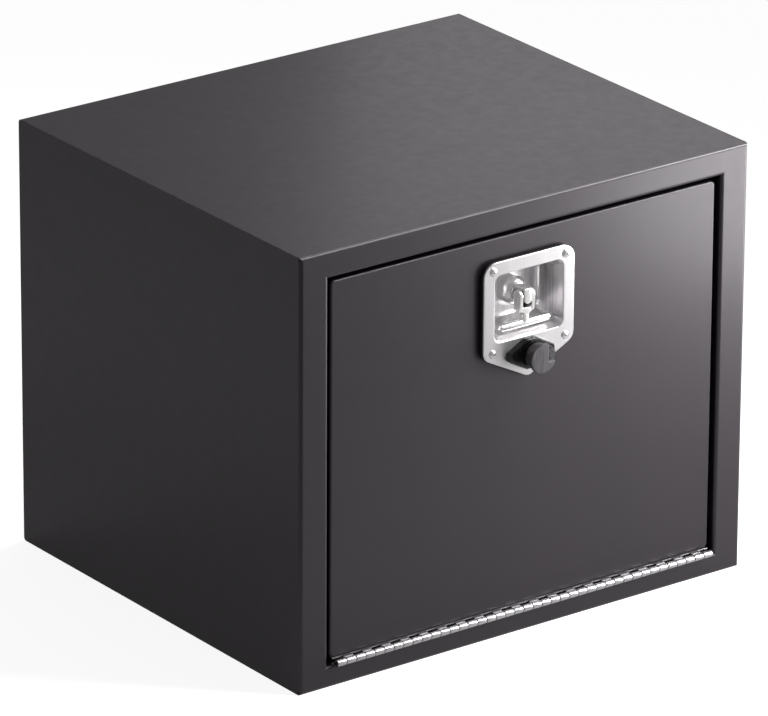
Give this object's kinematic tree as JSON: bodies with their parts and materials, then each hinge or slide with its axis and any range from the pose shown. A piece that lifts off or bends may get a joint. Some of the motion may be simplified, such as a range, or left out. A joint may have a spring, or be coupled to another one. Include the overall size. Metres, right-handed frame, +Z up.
{
  "type": "steel storage box",
  "caption": "Steel storage box with a drop-down front door on a long piano hinge, a recessed folding T-handle latch that turns a cam, and a capped key lock.",
  "frame": {"origin": "middle of the box's bottom face, on the surface that it stands on; the box itself is centred on it and the latch stands out in front", "axes": "+X to the right along the door's hinge as seen from the front, +Y from the door to the back, +Z up"},
  "size_m": [0.6096, 0.5644, 0.508],
  "materials": {
    "powder_coat": "smooth satin black powder coat on steel sheet",
    "stainless": "bright polished stainless steel",
    "cast_handle": "tumbled bright cast stainless steel",
    "zinc_steel": "bright zinc plated steel",
    "lock_metal": "chrome plated zinc casting",
    "seal_rubber": "black closed-cell rubber",
    "black_plastic": "moulded black plastic, lightly worn"
  },
  "bodies": {
    "box": {"shell_wrap": "powder_coat", "end_panel_left": "powder_coat", "end_panel_right": "powder_coat", "door_seal": "seal_rubber", "striker_plate": "powder_coat", "hinge_frame_leaf": "stainless", "hinge_pin": "stainless", "hinge_sill_rivets": "stainless"},
    "door": {"door_skin": "powder_coat", "door_liner": "powder_coat", "hinge_door_leaf": "stainless", "hinge_door_rivets": "stainless", "latch_gasket": "seal_rubber", "latch_tray": "stainless", "tray_rivets": "stainless", "spindle_boss": "cast_handle", "boss_nut": "zinc_steel", "lock_cylinder": "lock_metal", "lock_nut": "zinc_steel", "lock_cover": "black_plastic"},
    "spindle": {"spindle": "cast_handle", "spring_washer": "zinc_steel", "latch_cam": "zinc_steel", "cam_washer": "zinc_steel", "cam_nut": "zinc_steel"},
    "t_handle": {"handle_stem": "cast_handle", "handle_bar": "cast_handle", "handle_pin": "cast_handle"},
    "lock_plug": {"lock_core": "lock_metal", "lock_cam": "zinc_steel", "lock_screw": "zinc_steel"},
    "lock_cap": {"lock_cap": "black_plastic"}
  },
  "joints": [
    {"name": "door_hinge", "type": "hinge", "parent": "box", "child": "door", "pos_m": [0, -0.2717, 0.029], "axis": [1, 0, 0], "range_deg": [0, 90]},
    {"name": "handle_turn", "type": "hinge", "parent": "door", "child": "spindle", "pos_m": [0, -0.2667, 0.396], "axis": [0, -1, 0], "range_deg": [0, 90]},
    {"name": "handle_fold", "type": "hinge", "parent": "spindle", "child": "t_handle", "pos_m": [0, -0.2607, 0.396], "axis": [-1, 0, 0], "range_deg": [0, 90]},
    {"name": "lock_turn", "type": "hinge", "parent": "door", "child": "lock_plug", "pos_m": [0, -0.2667, 0.3325], "axis": [0, -1, 0], "range_deg": [0, 90]},
    {"name": "cap_pull", "type": "slide", "parent": "door", "child": "lock_cap", "axis": [0, -1, 0], "range_m": [0, 0.014]}
  ],
  "couplings": [
    {"joint": "handle_turn", "follows": "handle_fold", "ratio": 1}
  ]
}
